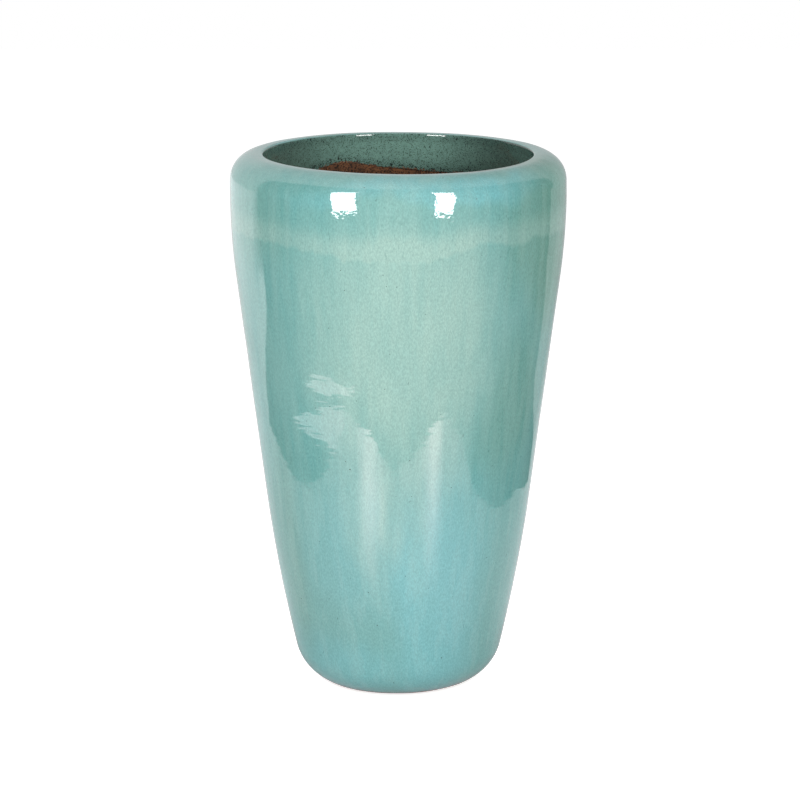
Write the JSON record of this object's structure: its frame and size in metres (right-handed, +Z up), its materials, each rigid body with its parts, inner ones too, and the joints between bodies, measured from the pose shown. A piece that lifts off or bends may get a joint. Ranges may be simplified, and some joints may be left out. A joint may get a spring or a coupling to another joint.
{
  "type": "glazed terracotta planter",
  "caption": "Tall tapered terracotta planter with a rolled-in rounded lip, an open mouth, a drain hole in its floor and a glossy sea-green glaze.",
  "frame": {"origin": "centre of the foot, on the ground", "axes": "+Z up, along the pot's axis of revolution"},
  "size_m": [0.496, 0.496, 0.8],
  "materials": {
    "terracotta": "matte",
    "glaze": "gloss"
  },
  "bodies": {
    "root": {"clay_body": "terracotta", "glaze_coat": "glaze"}
  },
  "joints": []
}
